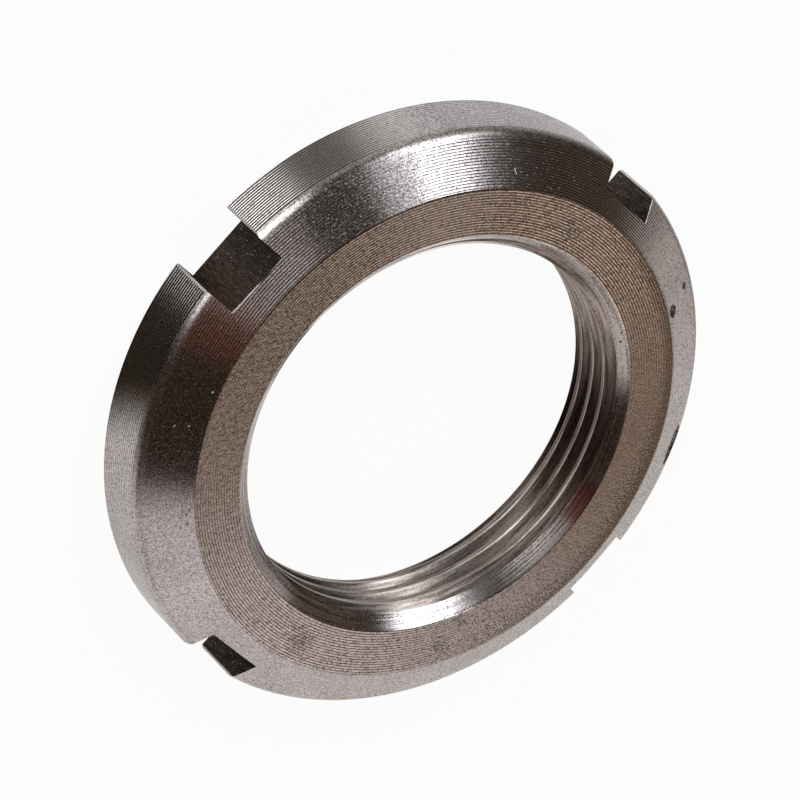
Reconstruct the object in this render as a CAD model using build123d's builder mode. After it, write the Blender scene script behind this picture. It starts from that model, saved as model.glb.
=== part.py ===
"""Bearing lock nut: a turned steel ring with a fine metric thread and four spanner slots."""

import os
from math import radians, sqrt, tan

from build123d import *

# Ring, in millimetres. The plain back face lies at z = 0 and the chamfered clamping face looks up.
outer_diameter = 45.0
face_diameter = 38.0
thickness = 6.8
face_chamfer_angle = 33.0
rim_rounding = 1.0
back_edge_break = 0.15

# Right-hand metric thread. The flats on its crests and roots are shares of the pitch, and at the
# start angle the middle of a groove crosses the plane of the back face.
thread_diameter = 30.0
thread_pitch = 1.5
thread_flank_angle = 30.0
thread_crest_share = 0.3
thread_root_share = 0.125
thread_start_angle = 207.0
countersink_margin = 0.5
countersink_angle = 45.0

# Spanner slots, open at both faces
slot_count = 4
first_slot_angle = 45.0
slot_width = 5.0
slot_depth = 2.0
slot_edge_break = 0.2

# Sizes that follow from those above
outer_radius = outer_diameter / 2
face_radius = face_diameter / 2
thread_radius = thread_diameter / 2
countersink_radius = thread_radius + countersink_margin
flank_slope = tan(radians(thread_flank_angle))
root_half_width = thread_pitch * thread_root_share / 2
mouth_half_width = thread_pitch * (1 - thread_crest_share) / 2
bore_radius = thread_radius - (mouth_half_width - root_half_width) / flank_slope
countersink_depth = (countersink_radius - bore_radius) / tan(radians(countersink_angle))
face_chamfer_height = (outer_radius - face_radius) * tan(radians(face_chamfer_angle))
slot_corner_reach = sqrt(outer_radius**2 - (slot_width / 2) ** 2)

# The thread is cut in a sleeve that holds the nut: the cut starts a little inside the bore and
# runs one turn past each face, and the sleeve is larger by one pitch more
cut_clearance = 0.1
cut_inner_radius = bore_radius - cut_clearance
cut_inner_half_width = mouth_half_width + cut_clearance * flank_slope
cut_overrun = thread_pitch
sleeve_overrun = cut_overrun + thread_pitch
sleeve_radius = outer_radius + thread_pitch

# One groove, its section swept along a helix that starts below the back face
with BuildPart() as thread_groove:
    with BuildLine():
        Helix(
            pitch=thread_pitch,
            height=thickness + 2 * cut_overrun,
            radius=thread_radius,
            center=(0, 0, -cut_overrun),
        )
    with BuildSketch(Plane.XZ):
        with BuildLine():
            Polyline(
                (cut_inner_radius, -cut_overrun - cut_inner_half_width),
                (thread_radius, -cut_overrun - root_half_width),
                (thread_radius, -cut_overrun + root_half_width),
                (cut_inner_radius, -cut_overrun + cut_inner_half_width),
                close=True,
            )
        make_face()
    sweep(is_frenet=True)

# The threaded sleeve
with BuildPart() as threaded_sleeve:
    with BuildSketch(Plane.XY.offset(-sleeve_overrun)):
        Circle(sleeve_radius)
        Circle(bore_radius, mode=Mode.SUBTRACT)
    extrude(amount=thickness + 2 * sleeve_overrun)
    add(thread_groove.part, rotation=(0, 0, thread_start_angle), mode=Mode.SUBTRACT)

with BuildPart() as lock_nut:
    # The turned section, from the countersunk bore out to the rim
    with BuildSketch(Plane.XZ):
        with BuildLine():
            Polyline(
                (bore_radius, countersink_depth),
                (countersink_radius, 0),
                (outer_radius - back_edge_break, 0),
                (outer_radius, back_edge_break),
                (outer_radius, thickness - face_chamfer_height),
                (face_radius, thickness),
                (countersink_radius, thickness),
                (bore_radius, thickness - countersink_depth),
                close=True,
            )
        make_face()
    revolve(axis=Axis.Z)

    # The corner between the rim and the chamfer is rubbed round
    rim_edges = lock_nut.edges().filter_by(GeomType.CIRCLE).group_by(SortBy.RADIUS)[-1]
    fillet(rim_edges.sort_by(Axis.Z)[-1], radius=rim_rounding)

    # Four slots for the spanner and the lock washer's tab, with broken edges at the rim
    with BuildSketch(Plane.XY):
        with PolarLocations(outer_radius - slot_depth, slot_count, start_angle=first_slot_angle):
            Rectangle(2 * slot_depth, slot_width, align=(Align.MIN, Align.CENTER))
        with PolarLocations(slot_corner_reach, slot_count, start_angle=first_slot_angle):
            with Locations((0, slot_width / 2), (0, -slot_width / 2)):
                RegularPolygon(radius=slot_edge_break, side_count=4)
    extrude(amount=thickness, mode=Mode.SUBTRACT)

    # The thread
    add(threaded_sleeve.part, mode=Mode.INTERSECT)

lock_nut.part.label = "lock_nut"

os.makedirs("parts", exist_ok=True)
export_step(lock_nut.part, "parts/lock_nut.step")
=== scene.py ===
"""Bearing lock nut: a turned steel ring nut with a fine thread and four spanner slots."""

from math import cos, pi, radians, sin, sqrt, tan

import bmesh
import bpy
from mathutils import Matrix, Vector


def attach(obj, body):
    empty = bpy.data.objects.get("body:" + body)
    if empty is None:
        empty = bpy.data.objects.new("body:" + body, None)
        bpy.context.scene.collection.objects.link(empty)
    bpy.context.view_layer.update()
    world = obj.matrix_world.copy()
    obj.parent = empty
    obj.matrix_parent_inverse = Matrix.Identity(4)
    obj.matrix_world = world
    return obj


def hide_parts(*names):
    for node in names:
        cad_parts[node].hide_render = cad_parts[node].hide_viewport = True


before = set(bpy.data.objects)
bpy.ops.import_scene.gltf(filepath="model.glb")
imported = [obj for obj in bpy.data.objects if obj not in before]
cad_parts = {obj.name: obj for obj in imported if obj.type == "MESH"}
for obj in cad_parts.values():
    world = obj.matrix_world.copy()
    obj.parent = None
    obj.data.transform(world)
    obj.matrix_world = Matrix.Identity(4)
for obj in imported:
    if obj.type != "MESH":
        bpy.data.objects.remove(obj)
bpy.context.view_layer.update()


# The turned ring: bar steel, faced, chamfered and countersunk on a lathe, bright with fine feed
# marks. Its section is spun about the bore's axis. All cutting is worked out in millimetres.
millimetre = 0.001
rim_radius = 22.5
face_radius = 19.0
ring_height = 6.8
chamfer_angle = radians(33)
corner_radius = 1.0
back_edge_reach = 0.15
fine_edge_reach = 0.05
countersink_radius = 15.5
pilot_radius = 13.5
corner_segments = 10
edge_segments = 3
steps_round = 240

chamfer_foot = ring_height - (rim_radius - face_radius) * tan(chamfer_angle)
corner_reach = corner_radius * tan((pi / 2 - chamfer_angle) / 2)
pilot_depth = countersink_radius - pilot_radius

# Each corner of the section, how far from it its rounding starts, and the rounding's segments
turned_corners = (
    (pilot_radius, pilot_depth, 0, 0),
    (countersink_radius, 0, fine_edge_reach, edge_segments),
    (rim_radius, 0, back_edge_reach, edge_segments),
    (rim_radius, chamfer_foot, corner_reach, corner_segments),
    (face_radius, ring_height, fine_edge_reach, edge_segments),
    (countersink_radius, ring_height, fine_edge_reach, edge_segments),
    (pilot_radius, ring_height - pilot_depth, 0, 0),
)


def everything(shape):
    """All corners, edges and faces of a shape."""
    return shape.verts[:] + shape.edges[:] + shape.faces[:]


def round_corner(shape, corner, reach, segments):
    """Rounds one corner of a section, from this far off it."""
    bmesh.ops.bevel(
        shape,
        geom=[corner],
        offset=reach,
        offset_type="OFFSET",
        segments=segments,
        profile=0.5,
        affect="VERTICES",
        material=-1,
    )


def spin(shape, angle, steps, rise=0, merge=False, duplicate=False):
    """Sweeps a shape round the z axis, or copies it round it, and up by the rise at each step."""
    bmesh.ops.spin(
        shape,
        geom=everything(shape),
        cent=(0, 0, 0),
        axis=(0, 0, 1),
        dvec=(0, 0, rise),
        angle=angle,
        steps=steps,
        use_merge=merge,
        use_normal_flip=False,
        use_duplicate=duplicate,
    )


def turn(shape, verts, angle, axis="Z"):
    """Turns corners of a shape about an axis through the origin."""
    bmesh.ops.rotate(shape, cent=(0, 0, 0), matrix=Matrix.Rotation(angle, 3, axis), verts=verts)


ring = bmesh.new()
section = [ring.verts.new((radius, 0, z)) for radius, z, _, _ in turned_corners]
ring.faces.new(section)
for corner, (_, _, reach, segments) in zip(section, turned_corners):
    if reach:
        round_corner(ring, corner, reach, segments)
bmesh.ops.delete(ring, geom=ring.faces[:], context="FACES_ONLY")
spin(ring, 2 * pi, steps_round, merge=True)
bmesh.ops.recalc_face_normals(ring, faces=ring.faces[:])


class Wire:
    """One output in a node tree. Arithmetic on it adds Math nodes."""

    def __init__(self, tree, socket):
        self.tree = tree
        self.socket = socket

    def node(self, kind, settings, values, output=0):
        """Adds a node. Its settings come first, then the values or wires of its sockets."""
        new = self.tree.nodes.new(kind)
        for name, value in settings.items():
            setattr(new, name, value)
        for name, value in values.items():
            if isinstance(value, Wire):
                self.tree.links.new(value.socket, new.inputs[name])
            else:
                new.inputs[name].default_value = value
        return Wire(self.tree, new.outputs[output])

    def math(self, operation, *others):
        values = dict(enumerate((self, *others)))
        return self.node("ShaderNodeMath", {"operation": operation}, values)

    def __add__(self, other):
        return self.math("ADD", other)

    __radd__ = __add__

    def __mul__(self, other):
        return self.math("MULTIPLY", other)

    def __sub__(self, other):
        return self.math("SUBTRACT", other)

    def __rsub__(self, other):
        return self * -1 + other

    def __truediv__(self, other):
        return self.math("DIVIDE", other)

    def step(self, low, high):
        """0 below low, 1 above high, and smooth between them."""
        return self.node(
            "ShaderNodeMapRange",
            {"interpolation_type": "SMOOTHSTEP"},
            {"Value": self, "From Min": low, "From Max": high},
        )

    def between(self, low, high, soft):
        """1 from low to high, and 0 further off than soft."""
        return self.step(low - soft, low) * (1 - self.step(high, high + soft))

    def vector(self, operation, *others, output=0):
        values = dict(enumerate((self, *others)))
        return self.node("ShaderNodeVectorMath", {"operation": operation}, values, output)

    def length(self):
        return self.vector("LENGTH", output="Value")

    def along(self, way):
        """How far this place lies in a direction."""
        return self.vector("DOT_PRODUCT", way, output="Value")

    def axes(self):
        """The x, y and z of this place."""
        return [self.node("ShaderNodeSeparateXYZ", {}, {0: self}, axis) for axis in range(3)]

    def from_axis(self):
        """How far this place is from the z axis."""
        return self.vector("MULTIPLY", (1, 1, 0)).length()

    def outwards(self):
        """The level direction from the z axis to this place."""
        return self.vector("MULTIPLY", (1, 1, 0)).vector("NORMALIZE")

    def facing(self, way, full, faded):
        """1 where this direction is within full degrees of another, and 0 past faded degrees."""
        return self.along(way).step(cos(radians(faded)), cos(radians(full)))

    def noise(self, scale, detail=2.0, stretch=(1, 1, 1)):
        """Noise over this place, from about 0.3 to 0.7."""
        place = self.vector("MULTIPLY", stretch)
        values = {"Vector": place, "Scale": scale, "Detail": detail}
        return self.node("ShaderNodeTexNoise", {}, values)

    def blend(self, first, second):
        """One colour turning into another as this goes from 0 to 1."""
        values = {0: self, 6: first, 7: second}
        return self.node("ShaderNodeMix", {"data_type": "RGBA"}, values, output=2)


def source(tree, kind, output):
    """A wire from a new node that takes nothing in."""
    return Wire(tree, tree.nodes.new(kind).outputs[output])


def greatest(wires):
    """The greatest of some wires at each place."""
    top, *others = wires
    for other in others:
        top = top.math("MAXIMUM", other)
    return top


def bare_steel(name, anisotropy):
    """A steel material, its shader, and the place in millimetres that its pattern follows."""
    steel = bpy.data.materials.new(name)
    steel.use_nodes = True
    tree = steel.node_tree
    shader = tree.nodes["Principled BSDF"]
    shader.inputs["Metallic"].default_value = 1.0
    shader.inputs["Anisotropic"].default_value = anisotropy
    shader.inputs["Anisotropic Rotation"].default_value = 0.25
    metres = source(tree, "ShaderNodeTexCoord", "Object")
    return steel, shader, metres.vector("MULTIPLY", (1 / millimetre,) * 3)


def finish_steel(shader, colour, roughness, height, bare=None):
    """Joins a pattern to a steel shader: its height is in millimetres, bare its share of metal."""
    values = {"Height": height * millimetre, "Distance": 1.0, "Strength": 1.0}
    inputs = {
        "Normal": height.node("ShaderNodeBump", {}, values),
        "Base Color": colour,
        "Roughness": roughness,
        "Metallic": bare,
    }
    for name, wire in inputs.items():
        if wire:
            wire.tree.links.new(wire.socket, shader.inputs[name])


def feed_marks(distance, pitch, lean):
    """The height of a turned surface across its feed: one slope out and another back."""
    across = (distance / pitch).math("FRACT")
    return (across / lean).math("MINIMUM", (1 - across) / (1 - lean))


def streaks(place, distance, across, along):
    """Noise drawn out round the axis: its scale across, by the millimetre, and along, by angle."""
    around = place.outwards().vector("MULTIPLY", (along, along, 0))
    return around.vector("ADD", (distance * across).vector("MULTIPLY", (0, 0, 1))).noise(1.0, 3.0)


def direction(azimuth, elevation=0):
    """The direction at these degrees, round from the x axis and up from level."""
    azimuth, elevation = radians(azimuth), radians(elevation)
    return (cos(azimuth) * cos(elevation), sin(azimuth) * cos(elevation), sin(elevation))


turned_steel, shader, place = bare_steel("turned_bright_steel", anisotropy=0.65)
_, _, z = place.axes()
radius = place.from_axis()
outwards = place.outwards()


def towards(angle):
    """1 on the side of the nut that faces this angle, 0 square to it, and -1 opposite."""
    return outwards.along(direction(angle))


def on_surface(angle, distance):
    """The point of the face or chamfer at this angle and distance from the axis."""
    height = ring_height - max(distance - face_radius, 0) * tan(chamfer_angle)
    x, y, _ = direction(angle)
    return Vector((distance * x, distance * y, height))


def near(spot, size):
    """1 at a spot, and 0 further from it than this size."""
    return 1 - place.vector("SUBTRACT", spot).length().step(0, size)


def stroke(angle, distance, lean, reach):
    """1 along a scratch: its middle, its lean from radial, and its half length."""
    middle = on_surface(angle, distance)
    end = on_surface(angle + lean * 0.01, distance + cos(radians(lean)) * 0.2)
    way = (end - middle).normalized()
    off = place.vector("SUBTRACT", middle)
    beside = off.vector("CROSS_PRODUCT", way).length().step(scratch_core, scratch_edge)
    return (1 - beside) * (1 - off.along(way).math("ABSOLUTE").step(reach * 0.7, reach))


# Where each turned surface lies
blur = 0.03
above_rim = z.step(4.0, 4.4)
on_rim = radius.step(22.2, 22.4) * (1 - above_rim)
on_corner = radius.step(21.9, 22.1) * above_rim
on_sink = 1 - radius.step(countersink_radius - blur, countersink_radius + blur)
on_face = 1 - radius.step(face_radius - blur, face_radius + blur) - on_sink
on_cone = 1 - on_rim - on_corner - on_face - on_sink

# Round the nut: one side is rubbed smooth and pale. The clamping face is browner on other sides,
# with painted shade darkening one side, and stained, smeared and oily along its outer edge. The
# rim's marks are deep beside one slot, with painted highlights on their lands and painted shade
# and oil in their grooves. The chamfer's marks are dark on one side, with painted shade and oil
# in their grooves, and faint on another.
rubbed = (towards(142) + (place.noise(0.4) - 0.5) * 0.6).step(0.35, 0.85)
browned = towards(-115).step(-0.7, 0.3) * on_face * (1 - towards(-80).step(0.9, 1) * 0.7)
# Painted shade: one side of the clamping face darker
painted_face_shade = towards(-85).step(0, 0.8) * on_face
stained = radius.between(17.9, 18.6, 0.5) * towards(140).step(0.7, 0.95)
oiled = radius.between(18.4, 19.0, 0.4) * towards(175).step(0.6, 0.9) * on_face
yellowed = radius.between(19.0, 19.3, 0.2) * towards(140).step(0.7, 0.9)
# The side beside one slot, where the rim's marks are deeper and painted with highlights and shade
beside_slot = towards(-56).step(0.84, 0.97)
lined = towards(-122).step(0.86, 0.97)
unlined = towards(35).step(0.75, 0.95) * on_cone
cool_rim = towards(-120).step(0.7, 0.95) * on_rim
cooled = greatest((towards(70).step(0, 0.8) * on_face, cool_rim, unlined * 0.6))
painted_sink_highlight = towards(-100).step(0.9, 1) * on_sink
# A painted highlight on one side of the countersink
reddened = towards(146).step(0.99, 0.999) * on_sink

grain = place.noise(7.0, 2.0)
speck = place.noise(7.5, 1.0)
mottle = place.noise(0.35, 3.0).step(0.35, 0.65)
broken = place.noise(2.5, 4.0).step(0.3, 0.7) * 0.8 + 0.6
drawn = streaks(place, radius + z, 3.5, 2.0).step(0.4, 0.6) * on_sink

# The tool's feed for each turn on each surface, in millimetres, and its marks there
face_feed = 0.204
rim_feed = 0.252
cone_feed = 0.172
sink_feed = 0.1
wander = place.noise(0.3) * 0.03
face_marks = feed_marks(radius + wander, face_feed, 0.3) * on_face * broken
rim_marks = feed_marks(z + wander, rim_feed, 0.6) * on_rim
cone_marks = feed_marks(radius + wander, cone_feed, 0.4) * on_cone
sink_marks = feed_marks(z + wander, sink_feed, 0.5) * on_sink

# Rusty spots on the clamping face: angle, distance from the axis, and size
rusty = ((55, 17.3, 1.7), (95, 17.5, 1.2), (101, 16.0, 1.0), (-124, 17.0, 1.5))
spots = greatest(near(on_surface(angle, distance), size) for angle, distance, size in rusty)

# Bright scratches on the chamfer: angle, distance from the axis, lean, and half length
scratch_core = 0.02
scratch_edge = 0.05
scratched = (
    (-104.3, 20.03, 22, 0.28),
    (-13.5, 20.8, 60, 0.1),
    (-14.2, 20.0, 60, 0.1),
    (-22.5, 19.4, 70, 0.12),
)
scratches = greatest(stroke(*scratch) for scratch in scratched) * 0.8

# Dirt and painted shade: specks, a line round the face, grime along its edge, pits, painted shade
# and oil in the marks' grooves, painted shade on the countersink, and rust
specky = stained * 0.09 + spots * 0.05 + rubbed * 0.03 + browned * 0.04 - on_sink * 0.08
specks = (speck + specky).step(0.63, 0.70)
edge_dirt = radius.between(18.93, 19.0, 0.04) * (0.2 + towards(-75).step(0.6, 0.9) * 0.75)
grimy = radius.between(18.7, 19.0, 0.4) * towards(165).step(0.3, 0.8)
smeared = grimy * (speck.step(0.4, 0.6) * 0.5 + 0.15)
rust = (place.noise(6.0, 4.0) + spots * 0.1).step(0.57, 0.66) * spots.step(0, 0.4)
pits = (place.noise(3.2, 2.0) + on_sink * 0.03).step(0.70, 0.74) * towards(-150).step(0.6, 0.8)
# Painted shade and oil in the marks' grooves: all round the rim, most beside one slot, and on one
# side of the chamfer
rim_groove_shade = (1 - (rim_marks - beside_slot * 0.12).step(0.3, 0.7)) * on_rim
cone_groove_shade = (1 - cone_marks.step(0.3, 0.7)) * on_cone
groove_shade = rim_groove_shade * (0.3 + beside_slot * 0.7) + cone_groove_shade * lined * 0.8
# Painted shade on two sides of the countersink
painted_side_shade = greatest((towards(130).step(0.84, 0.96) * 0.65, towards(-160).step(0.8, 0.95) * 0.22))
dirt_and_shade = greatest(
    (specks * 0.75, edge_dirt, smeared, pits, groove_shade, painted_side_shade * on_sink, rust * 0.6, spots * 0.03)
)

# How light the steel is, with painted shade on one side of the clamping face
tone = (
    (grain.step(0.3, 0.7) - 0.5) * (0.8 + on_face * 0.7 + rubbed * 0.25 + on_rim * 0.2)
    + mottle * 0.1
    + on_face * 0.53
    + on_cone * 0.28
    + on_rim * 0.14
    + on_corner * 0.48
    + on_sink * 0.18
    + face_marks * (0.8 - rubbed * 0.5)
    + cone_marks * (0.3 + beside_slot * 0.5 + lined * 0.7 - rubbed * 0.2 - unlined * 0.2)
    + rim_marks * 0.6
    + drawn * 0.9
    + unlined * 0.3
    + rubbed * (0.12 + on_face * 0.22)
    # painted shade on one side of the clamping face
    - painted_face_shade * 0.22
    - cooled * on_face * 0.1
)

# Painted highlights and painted shade: patches painted lighter or darker than the rest. The
# surface, the angle of the middle, the cosine of the angle from there to the edge, and how much
# lighter
painted_light_patches = (
    (on_face, 15, 0.75, 0.12),
    (on_face, 160, 0.6, 0.34),
    (on_face, -86, 0.97, 0.3),
    (on_rim, -74, 0.955, 0.45),
    (on_cone, -66, 0.988, -0.35),
    (on_cone, -162, 0.9, 0.35),
    (on_corner, -125, 0.96, -0.3),
    (on_corner, -70, 0.96, -0.25),
    (on_sink, -100, 0.88, 0.9),
    (on_sink, -69, 0.965, -0.5),
    (on_sink, -10, 0.95, -0.45),
    (on_sink, 75, 0.96, 0.4),
)
for surface, angle, edge, lighter in painted_light_patches:
    tone = tone + surface * towards(angle).step(edge, 1) * lighter

colour = tone.blend((0.22, 0.195, 0.18, 1), (0.65, 0.605, 0.585, 1))

# What tints the steel, and how
tints = (
    (on_face, (1.0, 0.98, 0.95)),
    (browned, (0.99, 0.965, 0.90)),
    (cooled, (0.94, 0.99, 1.08)),
)
for share, tint in tints:
    colour = share.blend(colour, colour.vector("MULTIPLY", tint))

# What covers it or is painted on it, from the lowest up, and its colour
covers = (
    # a painted highlight on one side of the countersink
    (painted_sink_highlight, (0.9, 0.88, 0.86, 1)),
    # painted highlights on the lands of the rim's marks beside one slot
    (rim_marks.step(0.5, 0.9) * beside_slot * 0.55, (0.95, 0.95, 0.96, 1)),
    (yellowed * 0.6, (0.55, 0.45, 0.35, 1)),
    (oiled * 0.45, (0.40, 0.32, 0.22, 1)),
    # dirt, with painted shade in the grooves and on the countersink
    (dirt_and_shade, (0.06, 0.045, 0.032, 1)),
    (reddened * 0.8, (0.16, 0.045, 0.035, 1)),
    (scratches, (0.95, 0.93, 0.9, 1)),
)
for share, cover in covers:
    colour = share.blend(colour, cover)

roughness = 0.15 + grain * 0.1 + dirt_and_shade * 0.2 + scratches * 0.3 + on_corner * 0.08 - beside_slot * 0.04

# How deep the marks are, in hundredths of a millimetre, and the height of the whole in millimetres
marks = (
    face_marks * (1.0 - rubbed * 0.5)
    + rim_marks * (2.2 + beside_slot * 3.0)
    + cone_marks * (1.0 + beside_slot * 0.5 - rubbed * 0.7 - unlined * 0.6)
    + sink_marks * 0.3
)
height = marks * 0.01 + grain * (0.0008 + rubbed * 0.0014) + drawn * 0.010 - dirt_and_shade * 0.005
finish_steel(shader, colour, roughness, height, 1 - scratches * 0.8)


# The four spanner slots: milled through the rim from face to face, each with a flat floor and with
# its two edges broken pale where they meet the rim. The milled faces are dark and fine-lined, and
# painted lighter or darker from slot to slot as light and shade.
slot_width = 5.0
slot_depth = 2.0
slot_count = 4
edge_break = 0.2
first_slot = radians(45)
overcut = 1

half_slot = slot_width / 2
floor_distance = rim_radius - slot_depth
mouth = sqrt(rim_radius**2 - half_slot**2)
slot_outline = (
    (floor_distance, half_slot),
    (mouth - edge_break, half_slot),
    (mouth + overcut, half_slot + overcut + edge_break),
    (mouth + overcut, -half_slot - overcut - edge_break),
    (mouth - edge_break, -half_slot),
    (floor_distance, -half_slot),
)

slots = bmesh.new()
slot_end = slots.faces.new([slots.verts.new((x, y, -overcut)) for x, y in slot_outline])
grown = bmesh.ops.extrude_face_region(slots, geom=[slot_end], use_keep_orig=True)["geom"]
bmesh.ops.translate(
    slots,
    vec=(0, 0, ring_height + 2 * overcut),
    verts=[piece for piece in grown if isinstance(piece, bmesh.types.BMVert)],
)
turn(slots, slots.verts[:], first_slot)
spin(slots, 2 * pi * (slot_count - 1) / slot_count, slot_count - 1, duplicate=True)
bmesh.ops.recalc_face_normals(slots, faces=slots.faces[:])

milled_steel, shader, place = bare_steel("milled_dark_steel", anisotropy=0.0)
x, y, z = place.axes()
lines = place.noise(9.0, 4.0, stretch=(1, 1, 0.1))
grain = place.noise(9.0, 3.0)

# Pale are the broken edges, and a burr along the chamfer on one side of each slot, painted bright
# as its glint
across = (x.math("ABSOLUTE") - y.math("ABSOLUTE")) * sqrt(0.5)
filed = across.math("ABSOLUTE").step(half_slot + 0.005, half_slot + 0.03)
above = z + (place.from_axis() - face_radius) * tan(chamfer_angle) - ring_height
burr_glint = (above + (place.noise(1.5) - 0.5) * 0.2).step(-0.13, -0.11) * across.step(-0.6, 0.2)
pale = filed.math("MAXIMUM", burr_glint)

# Painted light and shade: how far along this diagonal a slot lies tells how light it is painted,
# dark at the high end, graded across the two slots in the middle, and a quarter light at the low
# end
diagonal = x + y
painted_slot_light = diagonal.step(-2.5, 3.5) * (1 - diagonal.step(8, 12))
painted_slot_light = painted_slot_light + (1 - diagonal.step(-12, -8)) * 0.25

colour = (lines * 0.6 + grain * 0.4).step(0.4, 0.6)
colour = colour.blend((0.03, 0.023, 0.018, 1), (0.085, 0.068, 0.057, 1))
colour = colour.vector("MULTIPLY", painted_slot_light.blend((0.4, 0.37, 0.35, 1), (1.9, 1.75, 1.65, 1)))
colour = grain.step(0.66, 0.7).blend(colour, (0.5, 0.47, 0.44, 1))
worn_edge = (grain * 1.6 - 0.25 + burr_glint).blend((0.2, 0.18, 0.17, 1), (0.85, 0.82, 0.79, 1))
colour = pale.blend(colour, worn_edge)
height = lines * 0.01 + grain * (0.006 + filed * 0.06)
finish_steel(shader, colour, 0.42 + grain * 0.1, height, 1 - pale * 0.6)


# The thread: M30 x 1.5, right-hand, tapped in the bore, worn bright along its crests and painted
# with a highlight along them. One pitch of its profile is wound up a helix, trimmed level past both
# faces and closed, to be cut from the ring.
thread_radius = 15.0
thread_pitch = 1.5
crest_radius = 14.253
crest_half_width = 0.225
root_half_width = 0.094
crest_rounding = 0.1
root_rounding = 0.05
thread_start = radians(207)
turns_below = 2
turns = 9
overrun = 0.5
weld_distance = 0.0005
trim_tolerance = 0.00001
level_tolerance = 0.001

thread = bmesh.new()
profile = [
    thread.verts.new((radius, 0, z - turns_below * thread_pitch))
    for radius, z in (
        (crest_radius, -thread_pitch / 2),
        (crest_radius, crest_half_width - thread_pitch / 2),
        (thread_radius, -root_half_width),
        (thread_radius, root_half_width),
        (crest_radius, thread_pitch / 2 - crest_half_width),
        (crest_radius, thread_pitch / 2),
    )
]
for lower, upper in zip(profile, profile[1:]):
    thread.edges.new((lower, upper))
roundings = (crest_rounding, root_rounding, root_rounding, crest_rounding)
for corner, reach in zip(profile[1:-1], roundings):
    round_corner(thread, corner, reach, edge_segments)
turn(thread, thread.verts[:], thread_start)
spin(thread, 2 * pi, steps_round, rise=thread_pitch / steps_round)
spin(thread, 0, turns - 1, rise=thread_pitch, duplicate=True)
bmesh.ops.remove_doubles(thread, verts=thread.verts[:], dist=weld_distance)
for level, side in ((-overrun, -1), (ring_height + overrun, 1)):
    bmesh.ops.bisect_plane(
        thread,
        geom=everything(thread),
        dist=trim_tolerance,
        plane_co=(0, 0, level),
        plane_no=(0, 0, side),
        clear_outer=True,
        clear_inner=False,
    )
    rim = [
        edge
        for edge in thread.edges
        if edge.is_boundary and all(abs(v.co.z - level) < level_tolerance for v in edge.verts)
    ]
    bmesh.ops.contextual_create(thread, geom=rim)
bmesh.ops.recalc_face_normals(thread, faces=thread.faces[:])

tapped_steel, shader, place = bare_steel("tapped_steel", anisotropy=0.3)
x, y, z = place.axes()
drawn = streaks(place, z, 7.0, 4.0)
grain = place.noise(7.0, 3.0)
turns_round = (y.math("ARCTAN2", x) - thread_start) / (2 * pi)
up_the_thread = (z / thread_pitch - turns_round).math("FRACT")
# A painted highlight along one edge of the crests, which are worn bright there too
crest_wear_and_glint = up_the_thread.between(0.597, 0.617, 0.02) * (drawn * 2.6 - 0.75)
# Painted shade on one side of the bore
painted_side_shade = place.along(direction(170)).step(12.5, 14.5) * 0.6
pits = place.noise(3.2, 2.0).step(0.68, 0.72) * place.along((-0.77, -0.64, 0)).step(8, 13)
colour = (drawn * 0.7 + grain * 0.3).step(0.35, 0.65)
colour = colour.blend((0.10, 0.08, 0.062, 1), (0.42, 0.37, 0.335, 1))
colour = painted_side_shade.blend(colour, (0.07, 0.045, 0.035, 1))
colour = crest_wear_and_glint.blend(colour, (0.95, 0.88, 0.84, 1))
colour = pits.blend(colour, (0.03, 0.022, 0.016, 1))
roughness = 0.26 + grain * 0.12 + pits * 0.2
finish_steel(shader, colour, roughness, drawn * 0.016 + grain * 0.005, 1 - crest_wear_and_glint * 0.4)


# The knocks: one long dent on the rounded corner and two small pits on the chamfer, left by
# handling, with dull brown metal in them. Each is the hollow of a flat uneven lump.
# Angle, distance from the axis, height, tilt of the surface, and the lump's length, width and depth
knocks = (
    (162.5, 21.72, 5.03, 57, 1.70, 0.50, 0.12),
    (196.5, 19.6, 6.41, 57, 0.52, 0.45, 0.12),
    (198.3, 21.4, 5.24, 57, 0.32, 0.24, 0.03),
)
unevenness = 0.12

lumps = bmesh.new()
for angle, distance, height, tilt, length, width, depth in knocks:
    sphere = bmesh.ops.create_uvsphere(lumps, u_segments=24, v_segments=12, radius=1)
    lump = sphere["verts"]
    bmesh.ops.scale(lumps, vec=(depth, length, width), verts=lump)
    for corner in lump:
        wave = sin(corner.co.y * 7 / length) * sin(corner.co.z * 5 / width + 1)
        corner.co *= 1 + unevenness * wave
    turn(lumps, lump, -radians(tilt), "Y")
    bmesh.ops.translate(lumps, vec=(distance, 0, height), verts=lump)
    turn(lumps, lump, radians(angle))

knocked_steel, shader, place = bare_steel("knocked_steel", anisotropy=0.0)
grain = place.noise(4.0, 3.0)
colour = grain.step(0.42, 0.62).blend((0.04, 0.03, 0.022, 1), (0.3, 0.26, 0.23, 1))
finish_steel(shader, colour, 0.5 + grain * 0.1, grain * 0.03)


# The nut: the ring with its slots, thread and knocks cut away, in one piece of steel. Edges
# between two finishes and steep corners stay sharp, and the rest is shaded smooth as the tool
# left it.
sharp_angle = radians(32)
finishes = (turned_steel, milled_steel, tapped_steel, knocked_steel)
cuts = bmesh.new()
for finish, shape in enumerate((slots, thread, lumps), start=1):
    for face in shape.faces:
        face.material_index = finish
    tool_mesh = bpy.data.meshes.new("tool")
    shape.to_mesh(tool_mesh)
    cuts.from_mesh(tool_mesh)


def solid(name, shape):
    """An object of a shape, with the nut's finishes."""
    mesh = bpy.data.meshes.new(name)
    shape.to_mesh(mesh)
    for finish in finishes:
        mesh.materials.append(finish)
    piece = bpy.data.objects.new(name, mesh)
    bpy.context.scene.collection.objects.link(piece)
    return piece


def with_modifiers(piece):
    """The mesh that an object's modifiers make of it. The object itself goes."""
    finished = piece.evaluated_get(bpy.context.evaluated_depsgraph_get())
    mesh = bpy.data.meshes.new_from_object(finished)
    bpy.data.objects.remove(piece)
    return mesh


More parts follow.
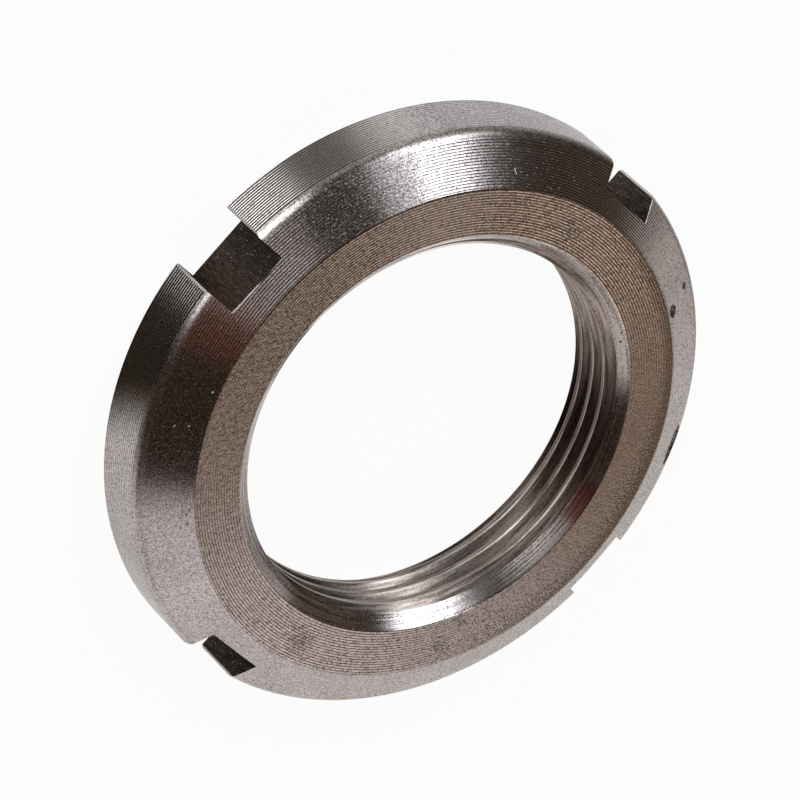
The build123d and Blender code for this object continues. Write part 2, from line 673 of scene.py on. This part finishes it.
blank = solid("blank", ring)
tools = solid("tools", cuts)
cut = blank.modifiers.new("cut", "BOOLEAN")
cut.operation = "DIFFERENCE"
cut.object = tools
cut.solver = "MANIFOLD"
machined = bmesh.new()
machined.from_mesh(with_modifiers(blank))
bpy.data.objects.remove(tools)

bmesh.ops.scale(machined, vec=(millimetre,) * 3, verts=machined.verts[:])
for face in machined.faces:
    face.smooth = True
for edge in machined.edges:
    one, other = edge.link_faces
    same_finish = one.material_index == other.material_index
    edge.smooth = same_finish and edge.calc_face_angle() < sharp_angle
shaded = solid("shaded", machined)
even = shaded.modifiers.new("even", "WEIGHTED_NORMAL")
even.mode = "FACE_AREA"
even.weight = 50
even.keep_sharp = True
lock_nut = bpy.data.objects.new("bearing_lock_nut", with_modifiers(shaded))
bpy.context.scene.collection.objects.link(lock_nut)
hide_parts("lock_nut")
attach(lock_nut, "root")


# The floor: a plain pale surface that the nut lies on, kept near white for the camera so that
# only the nut's soft shadow shows on it. Painted shade lies on it, in dark sectors and a ring round
# the nut, which only the metal mirrors.
floor_reach = 1.5
floor_shape = bmesh.new()
bmesh.ops.create_grid(floor_shape, x_segments=1, y_segments=1, size=floor_reach)
floor_mesh = bpy.data.meshes.new("floor")
floor_shape.to_mesh(floor_mesh)
floor = bpy.data.objects.new("floor", floor_mesh)
bpy.context.scene.collection.objects.link(floor)

paper = bpy.data.materials.new("paper")
paper.use_nodes = True
tree = paper.node_tree
tree.nodes.clear()
camera_ray = source(tree, "ShaderNodeLightPath", "Is Camera Ray")
mirrored = source(tree, "ShaderNodeLightPath", "Is Glossy Ray")
spot = source(tree, "ShaderNodeTexCoord", "Object")
away = spot.from_axis()
outwards = spot.outwards()

# Each sector of painted shade: the angle of its middle, the degrees from there at which it starts
# to fade and is gone, how dark it is, and the metres from the nut's axis over which it sets in. A
# ring of painted shade lies under the bore as well.
mirrored_shade_sectors = (
    (-25.5, 10, 23, 0.95, None),
    (-67, 5, 14, 0.45, None),
    (-5, 11, 21, 0.9, (0.028, 0.04)),
    (140, 22, 40, 0.17, (0.028, 0.034)),
    (-145, 38, 55, 0.75, (0.027, 0.036)),
)
mirrored_shade = 1 - away.between(0.0105, 0.013, 0.002) * 0.4
for angle, full, faded, darkness, sets_in in mirrored_shade_sectors:
    sector_shade = outwards.facing(direction(angle), full, faded)
    if sets_in:
        sector_shade = sector_shade * away.step(*sets_in)
    mirrored_shade = mirrored_shade * (1 - sector_shade * darkness)

# Where the painted shade is deep, the mirrored floor turns orange
white = mirrored_shade.step(0, 0.4).blend((1.0, 0.75, 0.55, 1), (1.0, 0.97, 0.955, 1))
white = mirrored.blend((1, 1, 1, 1), white)
glow = {"Color": white, "Strength": 1 - mirrored * (1 - mirrored_shade * 0.95)}
pale = spot.node("ShaderNodeEmission", {}, glow)
matt = spot.node("ShaderNodeBsdfDiffuse", {}, {"Color": (0.8, 0.8, 0.8, 1)})
shown = {0: camera_ray * 0.95 + mirrored, 1: matt, 2: pale}
surface = camera_ray.node("ShaderNodeMixShader", {}, shown)
tree.links.new(surface.socket, tree.nodes.new("ShaderNodeOutputMaterial").inputs["Surface"])
floor_mesh.materials.append(paper)


# The light: a dim brown room with one pale wall and a few soft lights in it, which is what the
# bright metal mirrors. Angles are in degrees, round from the x axis and up from the floor.
world = bpy.data.worlds.new("studio")
bpy.context.scene.world = world
world.use_nodes = True
tree = world.node_tree
sky = source(tree, "ShaderNodeTexCoord", "Generated")
level = sky.outwards()
rise = sky.along((0, 0, 1))

# Azimuth, elevation, full and fading reach, and brightness
wall_parts = ((79, 12, 36, 47, 0.77), (125, 0, 22, 38, 0.75), (155, 0, 18, 31, 0.7))
# Azimuth, full and fading reach, lowest and highest elevation, how soft these are, and colour
lights = (
    (-127, 6, 10, 40, 66, 5, (6.8, 7.1, 7.6)),
    (-116, 12, 21, 16, 39, 5, (3.7, 3.8, 4.0)),
    (-170, 8, 22, 10, 30, 8, (0.06, 0.05, 0.03)),
    (-57, 8, 18, -5, 38, 4, (4.2, 4.3, 4.5)),
    (-33, 5, 14, -5, 26, 6, (2.2, 2.2, 2.3)),
    (-48, 14, 26, 50, 72, 5, (0.65, 0.61, 0.61)),
    (-21, 7, 16, 38, 66, 5, (0.13, 0.03, 0.02)),
    (103, 25, 31, 30, 52, 7, (0.74, 0.64, 0.58)),
    (145, 20, 40, 38, 72, 5, (0.13, 0.09, 0.07)),
)
wall = greatest(
    sky.facing(direction(azimuth, elevation), full, faded) * brightness
    for azimuth, elevation, full, faded, brightness in wall_parts
)
room = wall.blend((0.045, 0.030, 0.021, 1), (1.02, 0.95, 0.93, 1))
for azimuth, full, faded, low, high, soft, tint in lights:
    width = level.facing(direction(azimuth), full, faded)
    above = rise.step(sin(radians(low - soft)), sin(radians(low + soft)))
    below = 1 - rise.step(sin(radians(high - soft)), sin(radians(high + soft)))
    room = room.vector("ADD", (width * above * below).vector("MULTIPLY", tint))
tree.links.new(room.socket, tree.nodes["Background"].inputs["Color"])


# The camera: the photograph's viewpoint, looking down on the nut, and turned on its side because
# the nut lies flat here.
camera_azimuth = -47.718
camera_elevation = 47.75
camera_roll = 133.34
camera_distance = 0.43097

camera_data = bpy.data.cameras.new("camera")
camera_data.lens = 277.32
camera_data.sensor_width = 36.0
camera_data.clip_start = 0.01
camera_data.shift_x = 0.01248
camera_data.shift_y = -0.01154
camera = bpy.data.objects.new("camera", camera_data)
bpy.context.scene.collection.objects.link(camera)
camera.matrix_world = (
    Matrix.Translation(Vector(direction(camera_azimuth, camera_elevation)) * camera_distance)
    @ Matrix.Rotation(radians(camera_azimuth + 90), 4, "Z")
    @ Matrix.Rotation(radians(90 - camera_elevation), 4, "X")
    @ Matrix.Rotation(radians(camera_roll), 4, "Z")
)
bpy.context.scene.camera = camera
bpy.context.scene.view_settings.view_transform = "Standard"
